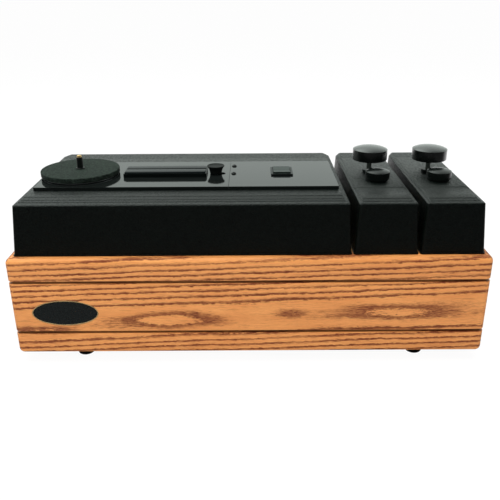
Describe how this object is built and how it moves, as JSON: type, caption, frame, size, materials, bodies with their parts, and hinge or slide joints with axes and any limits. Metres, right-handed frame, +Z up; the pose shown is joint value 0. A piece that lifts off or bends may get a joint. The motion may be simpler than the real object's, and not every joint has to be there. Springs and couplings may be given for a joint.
{
  "type": "record cleaning machine",
  "caption": "Vacuum record cleaning machine: oak cabinet, black drafted covers, label platter with spindle, lipped suction slot, sprung drive capstan, rocker switch and fluid pumps.",
  "frame": {"origin": "centre of the cabinet's footprint, on the surface that the feet stand on", "axes": "+X to the user's right along the cabinet's front, +Y to the back, +Z up"},
  "size_m": [0.508, 0.24, 0.2115],
  "materials": {
    "oak": "oiled, satin",
    "plywood": "bare",
    "abs": "fine leather grain",
    "acrylic": "satin gloss",
    "black_plastic": "satin",
    "badge": "gloss with a pale gold rim",
    "rubber": "matt",
    "lips": "smooth satin",
    "mat": "smooth matt",
    "steel": "zinc plated",
    "black_steel": "black oxide",
    "brass": "turned",
    "motor": "satin",
    "tank": "translucent white",
    "tube": "soft clear vinyl",
    "hose": "smooth",
    "aluminium": "cast"
  },
  "bodies": {
    "cabinet": {"front_board": "oak", "back_board": "oak", "left_board": "oak", "right_board": "oak", "base_board": "plywood", "corner_blocks": "plywood", "base_screws": "steel", "cross_rails": "plywood", "cover_cleats": "plywood", "rubber_feet": "rubber", "badge": "badge", "main_cover": "abs", "reservoir_cover_1": "abs", "reservoir_cover_2": "abs", "cover_screws": "black_steel", "left_panel": "acrylic", "right_panel": "acrylic", "spindle_bushing": "brass", "slot_body": "black_plastic", "slot_lips": "lips", "waste_tank": "tank", "vacuum_hose": "hose", "blower_housing": "black_plastic", "blower_cover": "black_plastic", "blower_motor": "motor", "isolators": "rubber", "vent_grille": "black_plastic", "carriage_screws": "black_steel", "carriage_nuts": "steel", "switch_body": "black_plastic", "reservoir_1": "tank", "reservoir_2": "tank", "pump_barrel_1": "black_plastic", "pump_barrel_2": "black_plastic", "fluid_tubes": "tube", "cord_gland": "rubber", "wiring_harness": "hose"},
    "turntable": {"platter": "aluminium", "platter_mat": "mat", "spindle": "black_steel"},
    "fan": {"impeller": "aluminium"},
    "carriage": {"carriage": "steel", "carriage_spring": "steel", "gearbox_case": "black_plastic", "drive_motor": "motor"},
    "capstan": {"capstan_shaft": "steel", "capstan_roller": "rubber"},
    "pinion": {"drive_pinion": "brass"},
    "rocker": {"rocker": "black_plastic"},
    "seal_1": {"cap_seal_1": "rubber"},
    "cap_1": {"filler_cap_1": "black_plastic"},
    "seal_2": {"cap_seal_2": "rubber"},
    "cap_2": {"filler_cap_2": "black_plastic"},
    "pump_1": {"pump_plunger_1": "black_plastic", "pump_knob_1": "black_plastic", "pump_spring_1": "steel"},
    "pump_2": {"pump_plunger_2": "black_plastic", "pump_knob_2": "black_plastic", "pump_spring_2": "steel"},
    "plug": {"drain_plug": "rubber"}
  },
  "joints": [
    {"name": "platter_spin", "type": "hinge", "parent": "cabinet", "child": "turntable", "pos_m": [-0.1938, -0.0096, 0.1847], "axis": [0, 0, 1], "continuous": true},
    {"name": "fan_spin", "type": "hinge", "parent": "cabinet", "child": "fan", "pos_m": [0.035, -0.042, 0.095], "axis": [0, 0, 1], "continuous": true},
    {"name": "carriage_slide", "type": "slide", "parent": "cabinet", "child": "carriage", "axis": [1, 0, 0], "range_m": [0, 0.005], "stiffness_N_per_m": 400, "springref_m": -0.004},
    {"name": "capstan_spin", "type": "hinge", "parent": "carriage", "child": "capstan", "pos_m": [-0.0379, -0.0096, 0.165], "axis": [0, 0, 1], "continuous": true},
    {"name": "pinion_spin", "type": "hinge", "parent": "carriage", "child": "pinion", "pos_m": [-0.0379, 0.0016, 0.165], "axis": [0, 0, 1], "continuous": true},
    {"name": "rocker_tilt", "type": "hinge", "parent": "cabinet", "child": "rocker", "pos_m": [0.038, -0.0046, 0.179], "axis": [1, 0, 0], "range_deg": [-10, 10]},
    {"name": "cap_1_rise", "type": "slide", "parent": "cabinet", "child": "seal_1", "axis": [0, 0, 1], "range_m": [0, 0.0045]},
    {"name": "cap_1_turn", "type": "hinge", "parent": "seal_1", "child": "cap_1", "pos_m": [0.1453, -0.0264, 0.185], "axis": [0, 0, 1], "range_deg": [0, 545]},
    {"name": "pump_1_press", "type": "slide", "parent": "cabinet", "child": "pump_1", "axis": [0, 0, -1], "range_m": [0, 0.011], "stiffness_N_per_m": 250, "springref_m": -0.012, "deforming": ["pump_spring_1"]},
    {"name": "cap_2_rise", "type": "slide", "parent": "cabinet", "child": "seal_2", "axis": [0, 0, 1], "range_m": [0, 0.0045]},
    {"name": "cap_2_turn", "type": "hinge", "parent": "seal_2", "child": "cap_2", "pos_m": [0.2147, -0.0264, 0.185], "axis": [0, 0, 1], "range_deg": [0, 545]},
    {"name": "pump_2_press", "type": "slide", "parent": "cabinet", "child": "pump_2", "axis": [0, 0, -1], "range_m": [0, 0.011], "stiffness_N_per_m": 250, "springref_m": -0.012, "deforming": ["pump_spring_2"]},
    {"name": "plug_pull", "type": "slide", "parent": "cabinet", "child": "plug", "axis": [0, 1, 0], "range_m": [0, 0.02]}
  ],
  "couplings": [
    {"joint": "pinion_spin", "follows": "capstan_spin", "ratio": -3},
    {"joint": "cap_1_turn", "follows": "cap_1_rise", "rad_per_m": 2094.4},
    {"joint": "cap_2_turn", "follows": "cap_2_rise", "rad_per_m": 2094.4}
  ]
}
